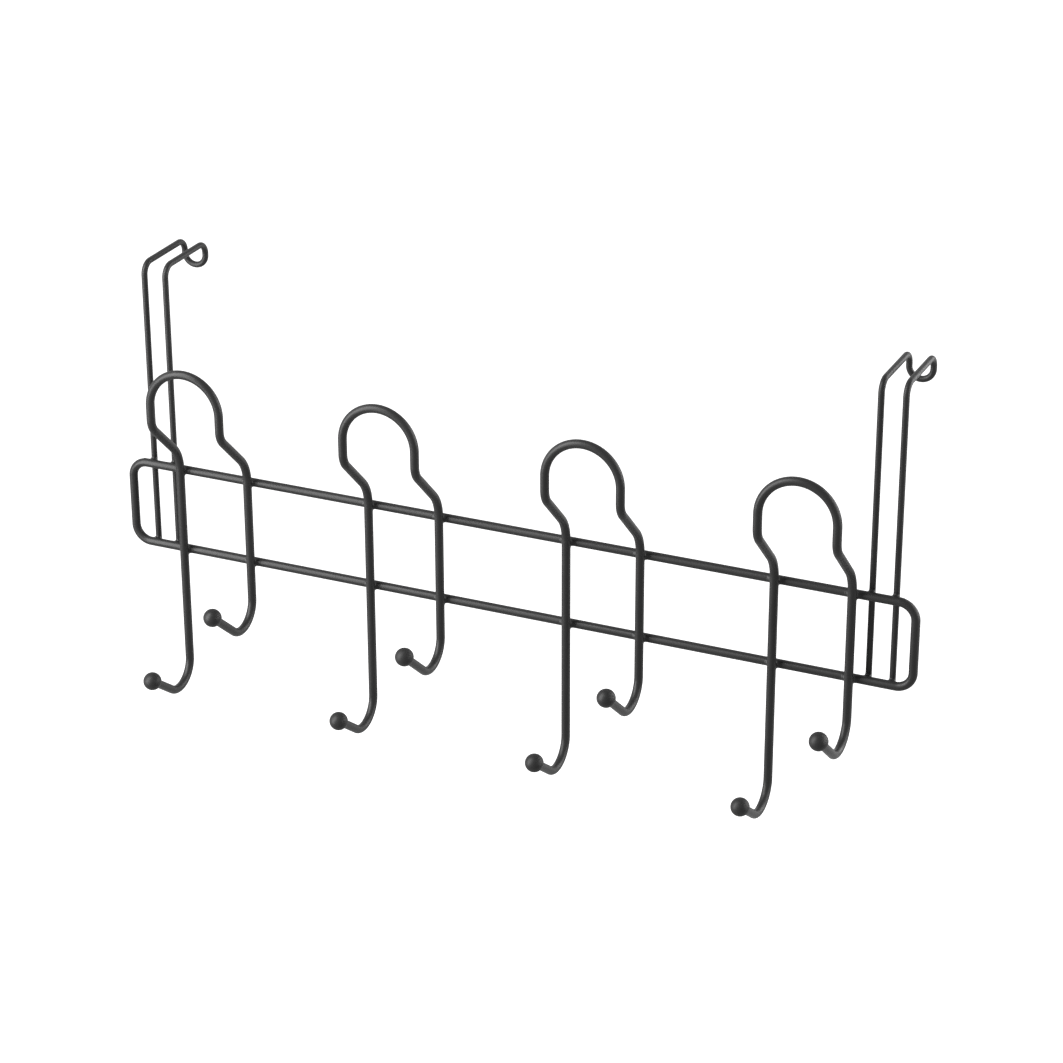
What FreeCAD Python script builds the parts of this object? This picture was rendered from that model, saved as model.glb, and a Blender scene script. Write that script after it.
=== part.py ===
import FreeCAD, Part
import math
import os
from FreeCAD import Vector

# Over door hook: a welded rack of bent wire that hangs on the top of a door.
# Millimetres and degrees. X runs along the rack, -Y points away from the door
# to the front, +Z up. The origin is on the door's top front edge, midway
# between the two hangers: the door's face is y = 0 and its top is z = 0.

# Wire and ball stock
wire = 5.2                # diameter of the ring and the hooks
hanger_wire = 3.7         # diameter of the two door hangers
ball = 11.0               # diameter of the balls on the hooks' ends
ball_socket = 6.0         # how deep a wire's end goes into its ball
weld_set_down = 0.4       # how far crossing wires are pressed into each other by the weld

# Ring of two rails
ring_width = 500.0        # over all, end to end
rail_spacing = 52.0       # between the centre lines of the two rails
ring_corner = 10.0        # bend radius of its four corners, on the centre line

# Double hooks, each one wire
hook_count = 4
hook_inset = 61.0         # ring's end to the middle of the outermost hook, the rest spread evenly
leg_spacing = 45.6        # between the two legs of one hook, and the arch's width
long_drop = 100.0         # bottom rail down to the corner of the long leg's bend
long_reach = 45.0         # leg forward to the ball's centre
long_rise = 36.0          # angle at which the long leg's tip rises
short_drop = 54.0         # the same for the short leg
short_reach = 48.0
short_rise = 39.5
hook_bend = 14.6          # radius of the bends under the legs

# Arch on top of each double hook
arch_start = 12.0         # top rail up to the corner where the legs turn forward
arch_offset = 30.0        # how far the arch stands in front of the legs
arch_rise = 28.5          # height of the slope between legs and arch
arch_lower_bend = 22.0    # radius where the legs turn forward
arch_upper_bend = 12.0    # radius where the slope turns upright again
arch_straight = 14.0      # slope's upper corner up to the start of the round top

# Door hangers, each one wire
hanger_inset = 22.5       # ring's end to the middle of the hanger
hanger_pair = 14.0        # between the two uprights of one hanger
hanger_height = 126.0     # top rail up to the centre line over the door
hanger_bend = 7.0         # radius of the bends at both edges of the door's top
hanger_tail = 2.0         # how far the uprights run on below the bottom rail's centre line
door_gap = 44.0           # clear space for the door
lip_straight = 1.1        # straight part of the lip behind the door

# Places that follow from the sizes above
hanger_y = -hanger_wire / 2
rail_y = hanger_y - (hanger_wire + wire) / 2 + weld_set_down
leg_y = rail_y - wire + weld_set_down
hanger_z = hanger_wire / 2
top_rail_z = hanger_z - hanger_height
bottom_rail_z = top_rail_z - rail_spacing


def bent_path(corners, radii, closed=False):
    """A wire's centre line: straight runs between the corners, each corner rounded by its radius."""
    count = len(corners)
    turning = range(count) if closed else range(1, count - 1)
    bends = {}
    for corner, radius in zip(turning, radii):
        point = corners[corner]
        back = (corners[corner - 1] - point).normalize()
        ahead = (corners[(corner + 1) % count] - point).normalize()
        half_turn = (math.pi - back.getAngle(ahead)) / 2
        tangent = radius * math.tan(half_turn)
        to_centre = (back + ahead).normalize()
        middle = point + to_centre * (radius / math.cos(half_turn) - radius)
        bends[corner] = (point + back * tangent, middle, point + ahead * tangent)
    edges = []
    last = corners[0] if not closed else bends[count - 1][2]
    for corner in range(count):
        if corner not in bends:
            target = corners[corner]
        else:
            target = bends[corner][0]
        if (target - last).Length > 1e-6:
            edges.append(Part.LineSegment(last, target).toShape())
        last = target
        if corner in bends:
            edges.append(Part.Arc(*bends[corner]).toShape())
            last = bends[corner][2]
    return Part.Wire(edges)


def bent_wire(path, diameter):
    """Sweep round stock along a centre line."""
    start = path.Edges[0]
    direction = start.tangentAt(start.FirstParameter)
    section = Part.Wire(Part.makeCircle(diameter / 2, start.valueAt(start.FirstParameter), direction))
    return path.makePipeShell([section], True, False)


def ring_solid():
    """The closed ring, its two rails joined by rounded ends."""
    end = (ring_width - wire) / 2
    corners = [
        Vector(-end, rail_y, bottom_rail_z),
        Vector(end, rail_y, bottom_rail_z),
        Vector(end, rail_y, top_rail_z),
        Vector(-end, rail_y, top_rail_z),
    ]
    return bent_wire(bent_path(corners, [ring_corner] * 4, closed=True), wire)


def leg_places():
    """X of each hook's left and right leg."""
    first = hook_inset - ring_width / 2
    pitch = -2 * first / (hook_count - 1)
    middles = [first + number * pitch for number in range(hook_count)]
    return [(middle - leg_spacing / 2, middle + leg_spacing / 2) for middle in middles]


def ball_centre(x, drop, reach, rise):
    """Middle of the ball on a leg's tip."""
    height = bottom_rail_z - drop + reach * math.tan(math.radians(rise))
    return Vector(x, leg_y - reach, height)


def leg_corners(x, drop, reach, rise):
    """Corners of one leg, from the wire's end in the ball up to the foot of the arch."""
    foot = Vector(x, leg_y, bottom_rail_z - drop)
    centre = ball_centre(x, drop, reach, rise)
    outward = (centre - foot).normalize()
    end = centre + outward * (ball_socket - ball / 2)
    shoulder = Vector(x, leg_y, top_rail_z + arch_start)
    neck = shoulder + Vector(0, -arch_offset, arch_rise)
    crown = neck + Vector(0, 0, arch_straight + leg_spacing / 2)
    return [end, foot, shoulder, neck, crown]


def double_hook(left, right):
    """One wire: long left leg, arch, short right leg."""
    corners = leg_corners(left, long_drop, long_reach, long_rise)
    corners += reversed(leg_corners(right, short_drop, short_reach, short_rise))
    side = [hook_bend, arch_lower_bend, arch_upper_bend, leg_spacing / 2]
    return bent_wire(bent_path(corners, side + side[::-1]), wire)


def door_hanger(middle):
    """One wire: two uprights, bent over the door and closed by a U behind it."""
    back_y = hanger_y + door_gap + hanger_wire
    lip_z = hanger_z - hanger_bend - lip_straight - hanger_pair / 2
    end_z = bottom_rail_z - hanger_tail
    side = [(hanger_y, end_z), (hanger_y, hanger_z), (back_y, hanger_z), (back_y, lip_z)]
    corners = [Vector(middle - hanger_pair / 2, y, z) for y, z in side]
    corners += [Vector(middle + hanger_pair / 2, y, z) for y, z in reversed(side)]
    radii = [hanger_bend, hanger_bend, hanger_pair / 2]
    return bent_wire(bent_path(corners, radii + radii[::-1]), hanger_wire)


def save(shape, name):
    shape.exportStep(os.path.join("parts", name + ".step"))
    print(name, "valid", shape.isValid(), "solids", len(shape.Solids), "volume", round(shape.Volume, 1))


os.makedirs("parts", exist_ok=True)

hooks = []
balls = {"long": [], "short": []}
for left, right in leg_places():
    hook = double_hook(left, right)
    hooks.append(hook)
    long_centre = ball_centre(left, long_drop, long_reach, long_rise)
    short_centre = ball_centre(right, short_drop, short_reach, short_rise)
    balls["long"].append(Part.makeSphere(ball / 2, long_centre).cut(hook))
    balls["short"].append(Part.makeSphere(ball / 2, short_centre).cut(hook))

hanger_x = ring_width / 2 - hanger_inset
hangers = [door_hanger(-hanger_x), door_hanger(hanger_x)]

ring = ring_solid().cut(hooks + hangers)

save(ring, "rail_ring")
for number, hook in enumerate(hooks, 1):
    save(hook, f"double_hook_{number}")
for side, pieces in balls.items():
    for number, piece in enumerate(pieces, 1):
        save(piece, f"{side}_leg_ball_{number}")
for side, hanger in zip(("left", "right"), hangers):
    save(hanger, f"door_hanger_{side}")
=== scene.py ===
"""Over door hook: a rack of bent and welded wire with a satin black powder coat.

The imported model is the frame. Every wire, ball and weld here is built on it, in metres.
"""
import math

import bmesh
import bpy
import numpy as np
from mathutils import Matrix, Vector


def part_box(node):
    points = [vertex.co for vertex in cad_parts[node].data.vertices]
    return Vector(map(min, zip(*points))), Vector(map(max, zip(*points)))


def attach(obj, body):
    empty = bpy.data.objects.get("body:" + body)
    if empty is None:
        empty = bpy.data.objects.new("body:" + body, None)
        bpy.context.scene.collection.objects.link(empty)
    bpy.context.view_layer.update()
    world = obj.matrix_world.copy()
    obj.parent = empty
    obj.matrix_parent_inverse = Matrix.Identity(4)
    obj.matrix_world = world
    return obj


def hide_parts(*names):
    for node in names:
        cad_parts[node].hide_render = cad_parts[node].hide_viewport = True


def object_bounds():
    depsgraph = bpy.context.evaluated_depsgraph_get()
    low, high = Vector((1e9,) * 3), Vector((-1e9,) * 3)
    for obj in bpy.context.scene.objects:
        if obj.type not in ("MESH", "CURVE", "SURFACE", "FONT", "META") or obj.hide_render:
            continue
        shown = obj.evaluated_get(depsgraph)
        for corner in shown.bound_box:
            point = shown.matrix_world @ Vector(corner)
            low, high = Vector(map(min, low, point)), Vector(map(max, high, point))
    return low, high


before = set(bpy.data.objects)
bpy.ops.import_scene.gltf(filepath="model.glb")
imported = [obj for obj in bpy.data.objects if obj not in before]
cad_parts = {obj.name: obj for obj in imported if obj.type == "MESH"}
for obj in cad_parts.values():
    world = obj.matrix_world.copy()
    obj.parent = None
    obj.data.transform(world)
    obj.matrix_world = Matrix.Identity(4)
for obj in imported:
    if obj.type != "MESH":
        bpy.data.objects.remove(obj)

bl_info = {
    "name": "Over Door Hook",
    "version": (1, 0, 0),
    "blender": (4, 5, 0),
    "location": "3D View > Sidebar > Door Hook",
    "description": "Builds a welded wire rack that hangs on a door, with its coat, lights and camera",
    "category": "Add Mesh",
}

MM = 0.001
# Pixels along the side of the square image
IMAGE_SIDE = 1063
# Points of a wire's mesh that lie nearer than this are one point
SAME_PLACE = 0.005 * MM
# Only the edge of a wire's cut end is sharper than this
SHARP_ANGLE = math.radians(60)

NODE_NAMES = sorted(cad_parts)
HOOK_NUMBERS = [name.rsplit("_", 1)[1] for name in NODE_NAMES if name.startswith("double_hook_")]
HANGER_SIDES = [name.rsplit("_", 1)[1] for name in NODE_NAMES if name.startswith("door_hanger_")]

# The object's box, before any piece of the scene stands in for a node
FRAME_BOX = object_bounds()


# Sizes and colours

def length(name, description, default_mm):
    return bpy.props.FloatProperty(
        name=name, description=description, default=default_mm * MM, min=0.0, precision=5, unit="LENGTH"
    )


def angle(name, description, default_degrees):
    return bpy.props.FloatProperty(
        name=name, description=description, default=math.radians(default_degrees), unit="ROTATION"
    )


def number(name, description, default):
    return bpy.props.FloatProperty(name=name, description=description, default=default, min=0.0)


def count(name, description, default):
    return bpy.props.IntProperty(name=name, description=description, default=default, min=3)


def grey(name, description, default):
    return bpy.props.FloatVectorProperty(
        name=name,
        description=description,
        default=(default,) * 3,
        size=3,
        min=0.0,
        max=1.0,
        subtype="COLOR",
    )


class WireSizes(bpy.types.PropertyGroup):
    """Wire stock and the bends that the frame's boxes don't tell."""

    wire: length("Wire", "Diameter of the ring's and the hooks' wire", 5.2)
    hanger_wire: length("Hanger Wire", "Diameter of the door hangers' wire", 3.7)
    ring_corner: length("Ring Corner", "Bend radius of the ring's four corners", 10.0)
    hook_bend: length("Hook Bend", "Bend radius under each leg", 14.6)
    long_rise: angle("Long Rise", "Angle at which a long leg's tip rises", 36.0)
    short_rise: angle("Short Rise", "Angle at which a short leg's tip rises", 39.5)
    arch_start: length("Arch Start", "Top rail up to where the legs turn forward", 12.0)
    arch_offset: length("Arch Offset", "How far the arch stands in front of the legs", 30.0)
    arch_straight: length("Arch Straight", "Upright stretch below the round top", 14.0)
    arch_lower_bend: length("Lower Arch Bend", "Bend radius where the legs turn forward", 22.0)
    arch_upper_bend: length("Upper Arch Bend", "Bend radius where the slope turns upright", 12.0)
    hanger_bend: length("Hanger Bend", "Bend radius at both edges of the door's top", 7.0)
    lip_straight: length("Lip Straight", "Straight part of the lip behind the door", 1.1)
    cut_edge: length("Cut Edge", "How far the coat rounds a cut wire's edge", 0.35)
    cut_steps: count("Cut Steps", "Faces across a cut wire's rounded edge", 3)
    sides: count("Sides", "Faces around a wire", 36)
    bend_points: count("Bend Points", "Points along each bend", 22)


class BallSizes(bpy.types.PropertyGroup):
    """The balls on the tips of the hooks."""

    ball: length("Ball", "Diameter of a ball", 11.0)
    socket: length("Socket", "How deep the wire's end goes into its ball", 6.0)
    collar: length("Collar", "Reach of the coat that gathers where the wire enters", 1.6)
    subdivisions: count("Subdivisions", "How often the faces of a ball are divided", 5)
    steps: count("Steps", "Steps in which a ball's points are moved out to its surface", 60)


class WeldSizes(bpy.types.PropertyGroup):
    """The welds where upright wires cross the rails."""

    fillet: length("Fillet", "Reach of the fillets between the wires and a weld's bead", 2.2)
    squeeze: length("Squeeze", "How far the bead stands out beside the upright wire", 0.6)
    bead_depth: length("Bead Depth", "Half depth of the bead, from front to back", 1.1)
    bead_height: length("Bead Height", "Half height of the bead", 1.7)
    cover: length("Cover", "Half width of the space in which a weld is shaped", 5.3)
    depth: length("Depth", "Half depth of that space, from front to back", 3.1)
    sunk: length("Sunk", "How far a weld's plain parts lie under the wires' surface", 0.03)
    lump: length("Lump", "Height of the unevenness of a weld", 0.26)
    lump_size: length("Lump Size", "Width of a weld's lumps", 2.2)
    voxels: count("Voxels", "Steps in each direction of the space in which a weld is shaped", 44)


class CoatFinish(bpy.types.PropertyGroup):
    """Satin black powder coat."""

    wire_colour: grey("Wire Colour", "Coat on the wires", 0.011)
    ball_colour: grey("Ball Colour", "Coat on the balls", 0.010)
    wire_roughness: number("Wire Roughness", "Roughness of the wires' coat", 0.43)
    ball_roughness: number("Ball Roughness", "Roughness of the balls' coat", 0.50)
    specular: number("Specular", "Strength of the coat's reflection", 0.21)
    peel_size: length("Peel Size", "Width of the coat's orange peel", 0.9)
    peel_height: length("Peel Height", "Height of the coat's orange peel", 0.009)
    speck_size: length("Speck Size", "Width of the coat's fine grain", 0.12)
    cloud_size: length("Cloud Size", "Width of the areas that differ a little in shade", 28.0)
    shade_change: number("Shade Change", "How much the coat's shade varies", 0.5)
    roughness_change: number("Roughness Change", "How much the coat's roughness varies", 0.22)


class StudioSetup(bpy.types.PropertyGroup):
    """Floor, lights and camera."""

    camera_azimuth: angle("Camera Azimuth", "Camera's turn to the right of the front", 24.231)
    camera_elevation: angle("Camera Elevation", "Camera's height angle", 24.658)
    camera_roll: angle("Camera Roll", "Camera's turn about its own axis", -0.16)
    camera_distance: length("Camera Distance", "From the point aimed at", 1875.5)
    aim_right: length("Aim Right", "Point aimed at, to the right of the ring's middle", 15.0)
    aim_up: length("Aim Up", "Point aimed at, above the ring's middle", 22.06)
    focal_pixels: number("Focal Pixels", "Focal length in pixels of the square image", 3240.5)
    floor_drop: length("Floor Drop", "From the lowest ball down to the floor", 900.0)
    floor_span: length("Floor Span", "Side of the square floor", 30000.0)
    key_power: number("Key Power", "Watts of the light at the upper left", 40.0)
    fill_power: number("Fill Power", "Watts of the light at the right", 22.0)
    back_power: number("Back Power", "Watts of the light at the right, behind the rack", 13.0)
    ambient: number("Ambient", "Even light from all around", 0.3)


# Softboxes that face the ring's middle: degrees to the right of the front and upwards, then metres
SOFTBOXES = {
    "key": {"azimuth": -46, "elevation": 22, "distance": 1.05, "width": 0.6, "height": 1.5},
    "fill": {"azimuth": 98, "elevation": 10, "distance": 1.8, "width": 1.0, "height": 1.2},
    "back": {"azimuth": 132, "elevation": 14, "distance": 1.3, "width": 0.6, "height": 0.9},
}


# Node trees

class NodeBench:
    """Adds nodes to a tree. An input's value is a number, a colour or another node's output."""

    def __init__(self, tree):
        self.tree = tree

    def feed(self, node, values):
        for key, value in values.items():
            if isinstance(value, bpy.types.NodeSocket):
                self.tree.links.new(value, node.inputs[key])
            else:
                node.inputs[key].default_value = value

    def add(self, kind, values=None, **settings):
        node = self.tree.nodes.new(kind)
        for key, value in settings.items():
            setattr(node, key, value)
        self.feed(node, values or {})
        return node

    def math(self, operation, *values):
        return self.add("ShaderNodeMath", dict(enumerate(values)), operation=operation).outputs[0]

    def hypotenuse(self, first, second):
        squares = [self.math("MULTIPLY", side, side) for side in (first, second)]
        return self.math("SQRT", self.math("ADD", *squares))


def new_tree(name, kind, inputs, outputs):
    """A node tree with named sockets; a socket's entry is (name, type) or (name, type, subtype)."""
    tree = bpy.data.node_groups.new(name, kind)
    for direction, sockets in (("INPUT", inputs), ("OUTPUT", outputs)):
        for socket_name, socket_type, *subtype in sockets:
            socket = tree.interface.new_socket(name=socket_name, in_out=direction, socket_type=socket_type)
            if subtype:
                socket.subtype = subtype[0]
    bench = NodeBench(tree)
    return bench, bench.add("NodeGroupInput").outputs


def finish_tree(bench, geometry, material):
    """Every geometry tree ends in real geometry with its material."""
    realized = bench.add("GeometryNodeRealizeInstances", {"Geometry": geometry})
    painted = bench.add("GeometryNodeSetMaterial", {"Geometry": realized.outputs[0], "Material": material})
    bench.add("NodeGroupOutput", {"Geometry": painted.outputs[0]})


def bent_wire_tree():
    """Round wire along a path of corners, each corner rounded by its own bend radius."""
    name = "Bent Wire"
    if name in bpy.data.node_groups:
        return bpy.data.node_groups[name]
    bench, inputs = new_tree(
        name,
        "GeometryNodeTree",
        [
            ("Geometry", "NodeSocketGeometry"),
            ("Wire Diameter", "NodeSocketFloat", "DISTANCE"),
            ("Sides", "NodeSocketInt"),
            ("Bend Points", "NodeSocketInt"),
            ("Material", "NodeSocketMaterial"),
        ],
        [("Geometry", "NodeSocketGeometry")],
    )
    path = bench.add("GeometryNodeMeshToCurve", {"Mesh": inputs["Geometry"]})
    bend = bench.add("GeometryNodeInputNamedAttribute", {"Name": "bend_radius"}, data_type="FLOAT")
    rounded = bench.add(
        "GeometryNodeFilletCurve",
        {"Curve": path.outputs[0], "Radius": bend.outputs["Attribute"], "Count": inputs["Bend Points"]},
        mode="POLY",
    )
    radius = bench.math("MULTIPLY", inputs["Wire Diameter"], 0.5)
    section = bench.add(
        "GeometryNodeCurvePrimitiveCircle", {"Resolution": inputs["Sides"], "Radius": radius}, mode="RADIUS"
    )
    swept = bench.add(
        "GeometryNodeCurveToMesh",
        {"Curve": rounded.outputs[0], "Profile Curve": section.outputs[0], "Fill Caps": True},
    )
    merged = bench.add("GeometryNodeMergeByDistance", {"Geometry": swept.outputs[0], "Distance": SAME_PLACE})
    smooth = bench.add("GeometryNodeSetShadeSmooth", {"Geometry": merged.outputs[0], "Shade Smooth": True})
    finish_tree(bench, smooth.outputs[0], inputs["Material"])
    return bench.tree


def weld_tree():
    """A weld on each point: one skin over an upright wire, a rail and their bead, with uneven fillets."""
    name = "Weld Row"
    if name in bpy.data.node_groups:
        return bpy.data.node_groups[name]
    lengths = [
        "Upright Radius",
        "Upright Place",
        "Upright End",
        "Bend Start",
        "Bend Radius",
        "Rail Radius",
        "Rail Place",
        "Bead Width",
        "Bead Depth",
        "Bead Height",
        "Fillet",
        "Cover",
        "Depth",
        "Sunk",
        "Lump",
        "Lump Size",
    ]
    bench, inputs = new_tree(
        name,
        "GeometryNodeTree",
        [("Geometry", "NodeSocketGeometry")]
        + [(each, "NodeSocketFloat", "DISTANCE") for each in lengths]
        + [("Voxels", "NodeSocketInt"), ("Seed", "NodeSocketFloat"), ("Material", "NodeSocketMaterial")],
        [("Geometry", "NodeSocketGeometry")],
    )
    position = bench.add("GeometryNodeInputPosition").outputs[0]
    place = bench.add("ShaderNodeSeparateXYZ", {0: position}).outputs

    # Upright wire: its line bends forward above the crossing and ends below it
    above = bench.math("MAXIMUM", bench.math("SUBTRACT", place["Z"], inputs["Bend Start"]), 0.0)
    forward = bench.math("DIVIDE", bench.math("MULTIPLY", above, above), inputs["Bend Radius"])
    upright_y = bench.math("MULTIPLY_ADD", forward, -0.5, inputs["Upright Place"])
    from_axis = bench.hypotenuse(place["X"], bench.math("SUBTRACT", place["Y"], upright_y))
    around = bench.math("SUBTRACT", from_axis, inputs["Upright Radius"])
    below = bench.math("SUBTRACT", bench.math("MULTIPLY", place["Z"], -1.0), inputs["Upright End"])
    to_upright = bench.math("MAXIMUM", around, below)

    # Rail, and the flat bead of metal squeezed out between the two wires
    from_rail_axis = bench.hypotenuse(place["Z"], bench.math("SUBTRACT", place["Y"], inputs["Rail Place"]))
    to_rail = bench.math("SUBTRACT", from_rail_axis, inputs["Rail Radius"])
    bead = {axis: inputs[f"Bead {size}"] for axis, size in zip("XYZ", ("Width", "Depth", "Height"))}
    bead = bench.add("ShaderNodeCombineXYZ", bead).outputs[0]
    in_bead = bench.add("ShaderNodeVectorMath", {0: position, 1: bead}, operation="DIVIDE").outputs[0]
    in_bead = bench.add("ShaderNodeVectorMath", {0: in_bead}, operation="LENGTH").outputs["Value"]
    to_bead = bench.math("MULTIPLY", bench.math("SUBTRACT", in_bead, 1.0), inputs["Bead Depth"])

    # The skin that covers all three, with fillets between them
    to_wires = bench.math("SMOOTH_MIN", to_upright, to_rail, inputs["Fillet"])
    to_weld = bench.math("SMOOTH_MIN", to_wires, to_bead, inputs["Fillet"])
    # Millimetres below the skin
    inside = bench.math("MULTIPLY", bench.math("ADD", to_weld, inputs["Sunk"]), -1.0 / MM)
    # 1 on the bead and where the wires' surfaces meet, falling to 0 where the skin follows one wire
    apart = bench.math("ABSOLUTE", bench.math("SUBTRACT", to_upright, to_rail))
    outside = bench.math("SUBTRACT", to_bead, to_wires)
    nearest = bench.math("MAXIMUM", bench.math("MINIMUM", apart, outside), 0.0)
    fillet_share = bench.math(
        "MAXIMUM", bench.math("SUBTRACT", 1.0, bench.math("DIVIDE", nearest, inputs["Fillet"])), 0.0
    )

    high = bench.add(
        "ShaderNodeCombineXYZ", {"X": inputs["Cover"], "Y": inputs["Depth"], "Z": inputs["Cover"]}
    ).outputs[0]
    low = bench.add("ShaderNodeVectorMath", {0: high, "Scale": -1.0}, operation="SCALE").outputs[0]
    space = {f"Resolution {axis}": inputs["Voxels"] for axis in "XYZ"}
    volume = bench.add(
        "GeometryNodeVolumeCube", {"Density": inside, "Background": -1.0, "Min": low, "Max": high, **space}
    )
    skin = bench.add(
        "GeometryNodeVolumeToMesh", {"Volume": volume.outputs[0], "Threshold": 0.0}, resolution_mode="GRID"
    )
    marked = bench.add(
        "GeometryNodeStoreNamedAttribute",
        {"Geometry": skin.outputs[0], "Name": "fillet_share", "Value": fillet_share},
        data_type="FLOAT",
        domain="POINT",
    )
    placed = bench.add(
        "GeometryNodeInstanceOnPoints", {"Points": inputs["Geometry"], "Instance": marked.outputs[0]}
    )
    realized = bench.add("GeometryNodeRealizeInstances", {"Geometry": placed.outputs[0]})

    # Unevenness, only where the skin stands clear of the wires
    share = bench.add("GeometryNodeInputNamedAttribute", {"Name": "fillet_share"}, data_type="FLOAT")
    share = share.outputs["Attribute"]
    noise = bench.add(
        "ShaderNodeTexNoise",
        {
            "Vector": position,
            "W": inputs["Seed"],
            "Scale": bench.math("DIVIDE", 1.0, inputs["Lump Size"]),
            "Detail": 1.5,
        },
        noise_dimensions="4D",
    )
    lump = bench.math("MULTIPLY", bench.math("SUBTRACT", noise.outputs["Fac"], 0.5), 2.0)
    lump = bench.math("MULTIPLY", bench.math("MULTIPLY", lump, inputs["Lump"]), share)
    offset = bench.add(
        "ShaderNodeVectorMath",
        {0: bench.add("GeometryNodeInputNormal").outputs[0], "Scale": lump},
        operation="SCALE",
    )
    uneven = bench.add(
        "GeometryNodeSetPosition", {"Geometry": realized.outputs[0], "Offset": offset.outputs[0]}
    )
    smooth = bench.add("GeometryNodeSetShadeSmooth", {"Geometry": uneven.outputs[0], "Shade Smooth": True})
    finish_tree(bench, smooth.outputs[0], inputs["Material"])
    return bench.tree


def base_object(name, points, edges=(), bend_radii=None):
    """The points, and any path through them, that a geometry tree works on."""
    mesh = bpy.data.meshes.new(name)
    mesh.from_pydata([tuple(point) for point in points], list(edges), [])
    if bend_radii is not None:
        attribute = mesh.attributes.new("bend_radius", "FLOAT", "POINT")
        attribute.data.foreach_set("value", bend_radii)
    base = bpy.data.objects.new(name, mesh)
    bpy.context.collection.objects.link(base)
    return base


def grow(base, tree, settings, finishing=None):
    """Runs a geometry tree on its base and returns the result as a plain mesh object."""
    modifier = base.modifiers.new(tree.name, "NODES")
    modifier.node_group = tree
    for item in tree.interface.items_tree:
        if item.in_out == "INPUT" and item.name in settings:
            modifier[item.identifier] = settings[item.name]
    if finishing:
        finishing(base)
    evaluated = base.evaluated_get(bpy.context.evaluated_depsgraph_get())
    mesh = bpy.data.meshes.new_from_object(evaluated)
    name, rough_mesh = base.name, base.data
    bpy.data.objects.remove(base)
    bpy.data.meshes.remove(rough_mesh)
    if not mesh.polygons:
        raise RuntimeError(f"{name} came out empty")
    mesh.name = name
    piece = bpy.data.objects.new(name, mesh)
    bpy.context.collection.objects.link(piece)
    return piece


# Powder coat

def powder_coat_group():
    """The coat's small unevenness: orange peel, fine grain and a slight change of shade."""
    name = "Powder Coat"
    if name in bpy.data.node_groups:
        return bpy.data.node_groups[name]
    bench, inputs = new_tree(
        name,
        "ShaderNodeTree",
        [
            ("Vector", "NodeSocketVector"),
            ("Colour", "NodeSocketColor"),
            ("Shade Change", "NodeSocketFloat"),
            ("Roughness", "NodeSocketFloat"),
            ("Roughness Change", "NodeSocketFloat"),
            ("Peel Size", "NodeSocketFloat", "DISTANCE"),
            ("Speck Size", "NodeSocketFloat", "DISTANCE"),
            ("Cloud Size", "NodeSocketFloat", "DISTANCE"),
        ],
        [
            ("Colour", "NodeSocketColor"),
            ("Roughness", "NodeSocketFloat"),
            ("Height", "NodeSocketFloat"),
        ],
    )

    def noise(size, detail):
        scale = bench.math("DIVIDE", 1.0, size)
        values = {"Vector": inputs["Vector"], "Scale": scale, "Detail": detail}
        return bench.add("ShaderNodeTexNoise", values).outputs["Fac"]

    peel = noise(inputs["Peel Size"], detail=1.0)
    specks = noise(inputs["Speck Size"], detail=2.0)
    clouds = noise(inputs["Cloud Size"], detail=2.0)

    # The fine grain's share of the height, next to the peel, and of the shade, next to the clouds
    grain_height = 0.22
    grain_shade = 0.6
    height = bench.math("MULTIPLY_ADD", specks, grain_height, peel)
    centred_clouds = bench.math("SUBTRACT", clouds, 0.5)
    centred_specks = bench.math("SUBTRACT", specks, 0.5)
    mottle = bench.math("MULTIPLY_ADD", centred_specks, grain_shade, centred_clouds)
    shade = bench.math("MULTIPLY_ADD", mottle, inputs["Shade Change"], 1.0)
    colour = bench.add(
        "ShaderNodeVectorMath", {0: inputs["Colour"], "Scale": shade}, operation="SCALE"
    )
    roughness = bench.math("MULTIPLY_ADD", mottle, inputs["Roughness Change"], inputs["Roughness"])
    bench.add(
        "NodeGroupOutput", {"Colour": colour.outputs[0], "Roughness": roughness, "Height": height}
    )
    return bench.tree


def coat_material(name, colour, roughness):
    """Satin black powder coat of one slot."""
    if name in bpy.data.materials:
        return bpy.data.materials[name]
    finish = bpy.context.scene.hook_finish
    material = bpy.data.materials.new(name)
    material.use_nodes = True
    bench = NodeBench(material.node_tree)
    values = {
        "Vector": bench.add("ShaderNodeTexCoord").outputs["Object"],
        "Colour": (*colour, 1.0),
        "Shade Change": finish.shade_change,
        "Roughness": roughness,
        "Roughness Change": finish.roughness_change,
        "Peel Size": finish.peel_size,
        "Speck Size": finish.speck_size,
        "Cloud Size": finish.cloud_size,
    }
    coat = bench.add("ShaderNodeGroup", values, node_tree=powder_coat_group()).outputs
    relief = {"Height": coat["Height"], "Strength": 1.0, "Distance": finish.peel_height}
    surface = {
        "Base Color": coat["Colour"],
        "Roughness": coat["Roughness"],
        "Specular IOR Level": finish.specular,
        "Normal": bench.add("ShaderNodeBump", relief).outputs["Normal"],
    }
    bench.feed(material.node_tree.nodes["Principled BSDF"], surface)
    material.diffuse_color = (*colour, 1.0)
    return material


def wire_coat():
    finish = bpy.context.scene.hook_finish
    return coat_material("wire_coat", finish.wire_colour, finish.wire_roughness)


def ball_coat():
    finish = bpy.context.scene.hook_finish
    return coat_material("ball_coat", finish.ball_colour, finish.ball_roughness)


# Places, read from the frame

def rail_places():
    """The ring's centre line: its left and right x, its y, and the z of the lower and the upper rail."""
    low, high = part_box("rail_ring")
    half = bpy.context.scene.hook_wire.wire / 2
    return low.x + half, high.x - half, (low.y + high.y) / 2, low.z + half, high.z - half


def hook_places(hook):
    """Left and right x of a hook's legs, their y, and the z of its crown."""
    low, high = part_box(f"double_hook_{hook}")
    half = bpy.context.scene.hook_wire.wire / 2
    return low.x + half, high.x - half, high.y - half, high.z - half


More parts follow.
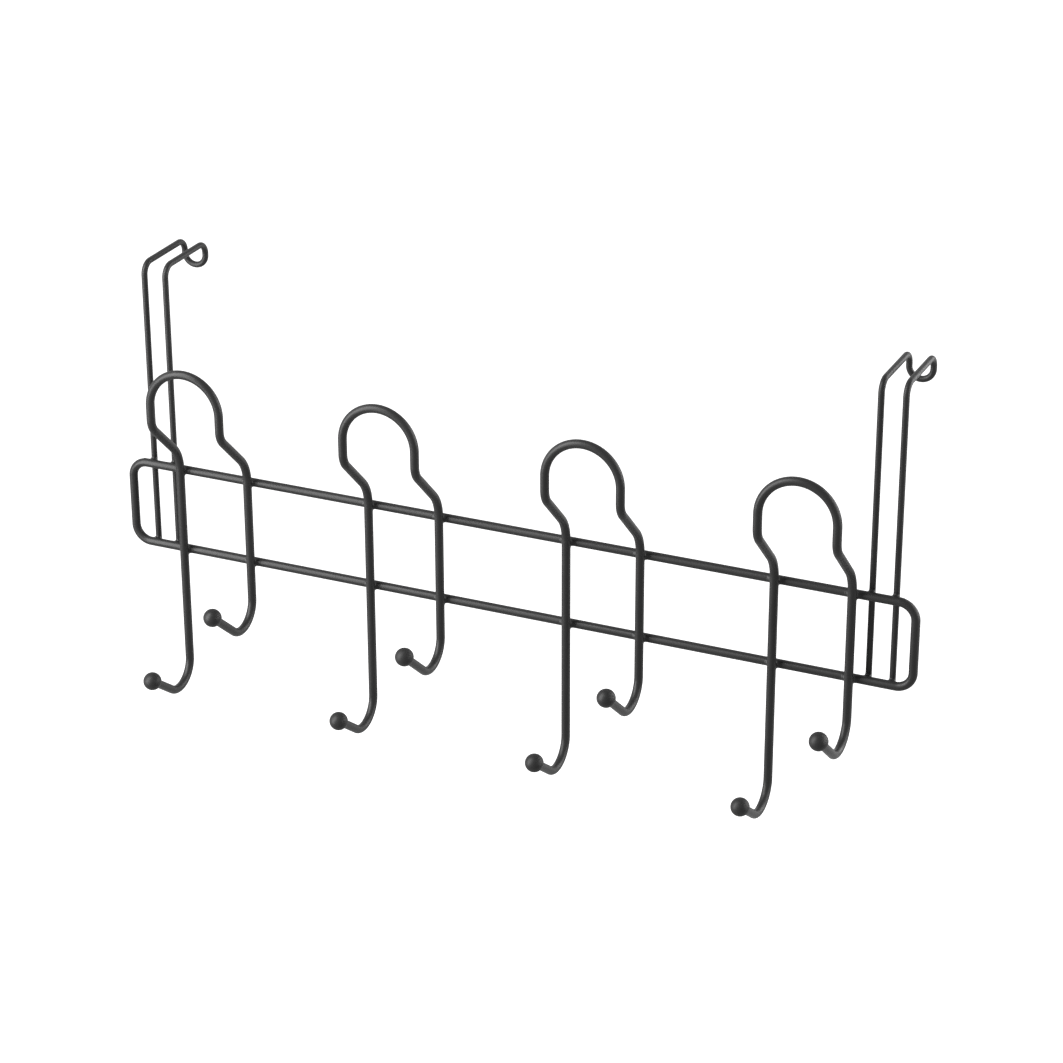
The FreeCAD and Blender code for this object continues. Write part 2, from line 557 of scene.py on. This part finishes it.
def hanger_places(side):
    """Left and right x of a hanger's wires, front and back y, its lower end and its top line."""
    low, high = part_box(f"door_hanger_{side}")
    half = bpy.context.scene.hook_wire.hanger_wire / 2
    return low.x + half, high.x - half, low.y + half, high.y - half, low.z, high.z - half


def middle_of(node):
    low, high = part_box(node)
    return (low + high) / 2


# Wires

def bend_wire(name, corners, radii, diameter, closed=False):
    """One piece of wire, bent at its corners."""
    sizes = bpy.context.scene.hook_wire
    edges = [(step, step + 1) for step in range(len(corners) - 1)]
    if closed:
        edges.append((len(corners) - 1, 0))
    base = base_object(name, corners, edges, radii)

    def round_cut_ends(target):
        bevel = target.modifiers.new("Cut Edge", "BEVEL")
        bevel.width = sizes.cut_edge
        bevel.segments = sizes.cut_steps
        bevel.limit_method = "ANGLE"
        bevel.angle_limit = SHARP_ANGLE

    settings = {
        "Wire Diameter": diameter,
        "Sides": sizes.sides,
        "Bend Points": sizes.bend_points,
        "Material": wire_coat(),
    }
    return grow(base, bent_wire_tree(), settings, None if closed else round_cut_ends)


def settle(piece, slot, *nodes):
    """A finished piece moves with the rack and stands for its nodes."""
    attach(piece, "root")
    if nodes:
        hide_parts(*nodes)


class HOOK_OT_rail_ring(bpy.types.Operator):
    """Closed ring of two rails with rounded ends"""

    bl_idname = "door_hook.rail_ring"
    bl_label = "Rail Ring"

    def execute(self, context):
        sizes = context.scene.hook_wire
        left, right, y, lower, upper = rail_places()
        corners = [(left, y, lower), (right, y, lower), (right, y, upper), (left, y, upper)]
        ring = bend_wire("ring_wire", corners, [sizes.ring_corner] * 4, sizes.wire, closed=True)
        settle(ring, "wire_finish", "rail_ring")
        return {"FINISHED"}


def leg_corners(hook, side):
    """Corners of one leg, from the wire's end in its ball up to the crown of the arch."""
    sizes = bpy.context.scene.hook_wire
    balls = bpy.context.scene.hook_ball
    left, right, leg_y, crown_z = hook_places(hook)
    ball = middle_of(f"{side}_leg_ball_{hook}")
    x, rise = (left, sizes.long_rise) if side == "long" else (right, sizes.short_rise)
    foot = Vector((x, leg_y, ball.z - (leg_y - ball.y) * math.tan(rise)))
    ball.x = x
    outward = (ball - foot).normalized()
    end = ball + outward * (balls.socket - balls.ball / 2)
    shoulder = Vector((x, leg_y, rail_places()[4] + sizes.arch_start))
    neck_z = crown_z - (right - left) / 2 - sizes.arch_straight
    neck = Vector((x, leg_y - sizes.arch_offset, neck_z))
    crown = Vector((x, leg_y - sizes.arch_offset, crown_z))
    radii = [0.0, sizes.hook_bend, sizes.arch_lower_bend, sizes.arch_upper_bend, (right - left) / 2]
    return [end, foot, shoulder, neck, crown], radii


class HOOK_OT_double_hooks(bpy.types.Operator):
    """Double hooks, each one wire: a long left leg, an arch and a short right leg"""

    bl_idname = "door_hook.double_hooks"
    bl_label = "Double Hooks"

    def execute(self, context):
        for hook in HOOK_NUMBERS:
            corners, radii = leg_corners(hook, "long")
            short_corners, short_radii = leg_corners(hook, "short")
            wire = bend_wire(
                f"hook_wire_{hook}",
                corners + short_corners[::-1],
                radii + short_radii[::-1],
                context.scene.hook_wire.wire,
            )
            settle(wire, "wire_finish", f"double_hook_{hook}")
        return {"FINISHED"}


class HOOK_OT_door_hangers(bpy.types.Operator):
    """Door hangers, each one wire: two uprights bent over the door and closed by a U behind it"""

    bl_idname = "door_hook.door_hangers"
    bl_label = "Door Hangers"

    def execute(self, context):
        sizes = context.scene.hook_wire
        for side in HANGER_SIDES:
            left, right, front_y, back_y, end_z, top_z = hanger_places(side)
            turn = (right - left) / 2
            lip_z = top_z - sizes.hanger_bend - sizes.lip_straight - turn
            line = [(front_y, end_z), (front_y, top_z), (back_y, top_z), (back_y, lip_z)]
            corners = [(left, *point) for point in line] + [(right, *point) for point in line[::-1]]
            radii = [0.0, sizes.hanger_bend, sizes.hanger_bend, turn]
            wire = bend_wire(f"hanger_wire_{side}", corners, radii + radii[::-1], sizes.hanger_wire)
            settle(wire, "wire_finish", f"door_hanger_{side}")
        return {"FINISHED"}


# Balls

def joined_distance(first, second, reach):
    """Distance to two shapes joined by a fillet of that reach: a cubic smooth minimum."""
    overlap = np.clip(1 - np.abs(first - second) / reach, 0, 1)
    return np.minimum(first, second) - overlap**3 * reach / 6


def ball_mesh(name, centre, outward):
    """A ball with the collar of coat around the wire that enters it from the other side."""
    sizes = bpy.context.scene.hook_ball
    wire_radius = bpy.context.scene.hook_wire.wire / 2
    ball_radius = sizes.ball / 2
    sunk = bpy.context.scene.hook_weld.sunk
    work = bmesh.new()
    bmesh.ops.create_icosphere(work, subdivisions=sizes.subdivisions, radius=1.0)
    directions = np.array([vertex.co.normalized() for vertex in work.verts])
    inward = -np.array(outward)
    # Each point moves out from the centre to the surface of the ball and its collar, or to the limit
    reach = np.zeros(len(directions))
    limit = ball_radius + sizes.collar
    for _ in range(sizes.steps):
        points = directions * reach[:, None]
        along = points @ inward
        from_axis = np.linalg.norm(points - along[:, None] * inward, axis=1)
        to_wire = np.maximum(from_axis - wire_radius + sunk, -along)
        to_ball = np.linalg.norm(points, axis=1) - ball_radius
        reach = np.minimum(reach - joined_distance(to_ball, to_wire, sizes.collar), limit)
    for vertex, direction, distance in zip(work.verts, directions, reach):
        vertex.co = centre + Vector(direction * distance)
    for face in work.faces:
        face.smooth = True
    mesh = bpy.data.meshes.new(name)
    work.to_mesh(mesh)
    work.free()
    mesh.materials.append(ball_coat())
    return mesh


class HOOK_OT_balls(bpy.types.Operator):
    """Balls on the tips of the hooks"""

    bl_idname = "door_hook.balls"
    bl_label = "Balls"

    def execute(self, context):
        for hook in HOOK_NUMBERS:
            for side in ("long", "short"):
                corners, _ = leg_corners(hook, side)
                outward = (corners[0] - corners[1]).normalized()
                node = f"{side}_leg_ball_{hook}"
                name = f"{side}_tip_ball_{hook}"
                ball = bpy.data.objects.new(name, ball_mesh(name, middle_of(node), outward))
                context.collection.objects.link(ball)
                settle(ball, "ball_finish", node)
        return {"FINISHED"}


# Welds

def weld_row(name, uprights, upright_y, upright_radius, rail_z, upright_end, bend_start, seed):
    """Welds where upright wires cross one rail."""
    wires = bpy.context.scene.hook_wire
    sizes = bpy.context.scene.hook_weld
    rail_y = rail_places()[2]
    rail_radius = wires.wire / 2
    # The middle of a weld lies halfway between the two wires' facing surfaces
    towards_rail = math.copysign(1, rail_y - upright_y)
    middle_y = (upright_y + towards_rail * upright_radius + rail_y - towards_rail * rail_radius) / 2
    base = base_object(name, [(x, middle_y, rail_z) for x in uprights])
    settings = {
        "Upright Radius": upright_radius,
        "Upright Place": upright_y - middle_y,
        "Upright End": upright_end,
        "Bend Start": bend_start,
        "Bend Radius": wires.arch_lower_bend,
        "Rail Radius": rail_radius,
        "Rail Place": rail_y - middle_y,
        "Bead Width": upright_radius + sizes.squeeze,
        "Bead Depth": sizes.bead_depth,
        "Bead Height": sizes.bead_height,
        "Fillet": sizes.fillet,
        "Cover": sizes.cover,
        "Depth": sizes.depth,
        "Sunk": sizes.sunk,
        "Lump": sizes.lump,
        "Lump Size": sizes.lump_size,
        "Voxels": sizes.voxels,
        "Seed": seed,
        "Material": wire_coat(),
    }
    settle(grow(base, weld_tree(), settings), "wire_finish")


class HOOK_OT_welds(bpy.types.Operator):
    """Welds where hooks and hangers cross the rails"""

    bl_idname = "door_hook.welds"
    bl_label = "Welds"

    def execute(self, context):
        wires = context.scene.hook_wire
        _, _, _, lower, upper = rail_places()
        rails = {"upper": upper, "lower": lower}
        # Further than a weld reaches, for uprights that don't end or bend near it
        endless = 10 * wires.wire

        legs = [x for hook in HOOK_NUMBERS for x in hook_places(hook)[:2]]
        _, _, shoulder, neck, _ = leg_corners(HOOK_NUMBERS[0], "long")[0]
        slope = math.atan2(shoulder.y - neck.y, neck.z - shoulder.z)
        bend_start = shoulder.z - wires.arch_lower_bend * math.tan(slope / 2)
        radius = wires.wire / 2
        for seed, (rail, z) in enumerate(rails.items()):
            weld_row(f"hook_welds_{rail}", legs, shoulder.y, radius, z, endless, bend_start - z, seed)

        uprights = [x for side in HANGER_SIDES for x in hanger_places(side)[:2]]
        _, _, front_y, _, end_z, _ = hanger_places(HANGER_SIDES[0])
        radius = wires.hanger_wire / 2
        for seed, (rail, z) in enumerate(rails.items(), len(rails)):
            weld_row(f"hanger_welds_{rail}", uprights, front_y, radius, z, z - end_z, endless, seed)
        return {"FINISHED"}


# Studio

def direction_of(azimuth, elevation):
    """Unit vector from the object: azimuth 0 is straight in front, growing to the right."""
    return Vector(
        (
            math.sin(azimuth) * math.cos(elevation),
            -math.cos(azimuth) * math.cos(elevation),
            math.sin(elevation),
        )
    )


def photo_camera(setup):
    """Camera at the photograph's viewing angle."""
    back = direction_of(setup.camera_azimuth, setup.camera_elevation)
    right = Vector((math.cos(setup.camera_azimuth), math.sin(setup.camera_azimuth), 0))
    up = back.cross(right)
    target = middle_of("rail_ring") + right * setup.aim_right + up * setup.aim_up
    data = bpy.data.cameras.new("photo_camera")
    data.sensor_width = 36.0
    data.lens = setup.focal_pixels / IMAGE_SIDE * data.sensor_width
    camera = bpy.data.objects.new("photo_camera", data)
    axes = Matrix((right, up, back)).transposed().to_4x4()
    turn = Matrix.Rotation(setup.camera_roll, 4, "Z")
    camera.matrix_world = Matrix.Translation(target + back * setup.camera_distance) @ axes @ turn
    bpy.context.collection.objects.link(camera)
    bpy.context.scene.camera = camera


def soft_light(name, target, azimuth, elevation, distance, width, height, power):
    """A softbox that faces its target."""
    data = bpy.data.lights.new(name, "AREA")
    data.shape = "RECTANGLE"
    data.size = width
    data.size_y = height
    data.energy = power
    towards = direction_of(math.radians(azimuth), math.radians(elevation))
    light = bpy.data.objects.new(name, data)
    light.location = target + towards * distance
    light.rotation_mode = "QUATERNION"
    light.rotation_quaternion = towards.to_track_quat("Z", "Y")
    bpy.context.collection.objects.link(light)


def seen_directly(bench):
    """1 for rays that show a background: from the camera, off gloss or through glass."""
    path = bench.add("ShaderNodeLightPath").outputs
    seen = bench.math("MAXIMUM", path["Is Camera Ray"], path["Is Glossy Ray"])
    return bench.math("MAXIMUM", seen, path["Is Transmission Ray"])


def white_world(ambient):
    """White where it is seen, and a plain even light on the object."""
    world = bpy.data.worlds.new("white_surroundings")
    world.use_nodes = True
    bench = NodeBench(world.node_tree)
    shown = bench.add("ShaderNodeBackground", {"Color": (1, 1, 1, 1), "Strength": 1.0})
    lighting = bench.add("ShaderNodeBackground", {"Color": (1, 1, 1, 1), "Strength": ambient})
    mix = bench.add(
        "ShaderNodeMixShader", {0: seen_directly(bench), 1: lighting.outputs[0], 2: shown.outputs[0]}
    )
    bench.feed(world.node_tree.nodes["World Output"], {"Surface": mix.outputs[0]})
    bpy.context.scene.world = world


def floor_material():
    """Pale matt floor that takes shadows, is lifted to white for the camera and is mirrored as white."""
    material = bpy.data.materials.new("pale_floor")
    material.use_nodes = True
    tree = material.node_tree
    bench = NodeBench(tree)
    tree.nodes.remove(tree.nodes["Principled BSDF"])
    path = bench.add("ShaderNodeLightPath").outputs
    matt = bench.add("ShaderNodeBsdfDiffuse", {"Color": (0.8, 0.8, 0.8, 1)})
    glow = bench.add("ShaderNodeEmission", {"Color": (1, 1, 1, 1), "Strength": path["Is Camera Ray"]})
    lifted = bench.add("ShaderNodeAddShader", {0: matt.outputs[0], 1: glow.outputs[0]})
    white = bench.add("ShaderNodeEmission", {"Color": (1, 1, 1, 1), "Strength": 1.0})
    mirrored = bench.math("MAXIMUM", path["Is Glossy Ray"], path["Is Transmission Ray"])
    mix = bench.add("ShaderNodeMixShader", {0: mirrored, 1: lifted.outputs[0], 2: white.outputs[0]})
    bench.feed(tree.nodes["Material Output"], {"Surface": mix.outputs[0]})
    return material


def pale_floor(drop, span):
    """Square floor, that far below the rack's lowest point."""
    half = span / 2
    z = FRAME_BOX[0].z - drop
    corners = [(-half, -half, z), (half, -half, z), (half, half, z), (-half, half, z)]
    mesh = bpy.data.meshes.new("floor")
    mesh.from_pydata(corners, [], [(0, 1, 2, 3)])
    mesh.materials.append(floor_material())
    floor = bpy.data.objects.new("floor", mesh)
    bpy.context.collection.objects.link(floor)


class HOOK_OT_stage(bpy.types.Operator):
    """Pale floor, soft lights and the camera"""

    bl_idname = "door_hook.stage"
    bl_label = "Stage"

    def execute(self, context):
        setup = context.scene.hook_studio
        context.scene.view_settings.view_transform = "Standard"
        photo_camera(setup)
        powers = {"key": setup.key_power, "fill": setup.fill_power, "back": setup.back_power}
        for name, place in SOFTBOXES.items():
            soft_light(f"{name}_light", middle_of("rail_ring"), power=powers[name], **place)
        white_world(setup.ambient)
        pale_floor(setup.floor_drop, setup.floor_span)
        return {"FINISHED"}


# Panel and start

class HOOK_PT_panel(bpy.types.Panel):
    """Door hook panel"""

    bl_idname = "HOOK_PT_panel"
    bl_label = "Over Door Hook"
    bl_space_type = "VIEW_3D"
    bl_region_type = "UI"
    bl_category = "Door Hook"

    def draw(self, context):
        for title, group in GROUPS.items():
            settings = getattr(context.scene, title)
            box = self.layout.box()
            for name in group.__annotations__:
                box.prop(settings, name)
        for operator in OPERATORS:
            self.layout.operator(operator.bl_idname)


GROUPS = {
    "hook_wire": WireSizes,
    "hook_ball": BallSizes,
    "hook_weld": WeldSizes,
    "hook_finish": CoatFinish,
    "hook_studio": StudioSetup,
}
OPERATORS = (
    HOOK_OT_rail_ring,
    HOOK_OT_double_hooks,
    HOOK_OT_door_hangers,
    HOOK_OT_balls,
    HOOK_OT_welds,
    HOOK_OT_stage,
)
CLASSES = (*GROUPS.values(), *OPERATORS, HOOK_PT_panel)


def register():
    for each in CLASSES:
        bpy.utils.register_class(each)
    for name, group in GROUPS.items():
        setattr(bpy.types.Scene, name, bpy.props.PointerProperty(type=group))


def unregister():
    for name in GROUPS:
        delattr(bpy.types.Scene, name)
    for each in reversed(CLASSES):
        bpy.utils.unregister_class(each)


def main():
    register()
    bpy.ops.door_hook.rail_ring()
    bpy.ops.door_hook.double_hooks()
    bpy.ops.door_hook.door_hangers()
    bpy.ops.door_hook.balls()
    bpy.ops.door_hook.welds()
    bpy.ops.door_hook.stage()


if __name__ == "__main__":
    main()
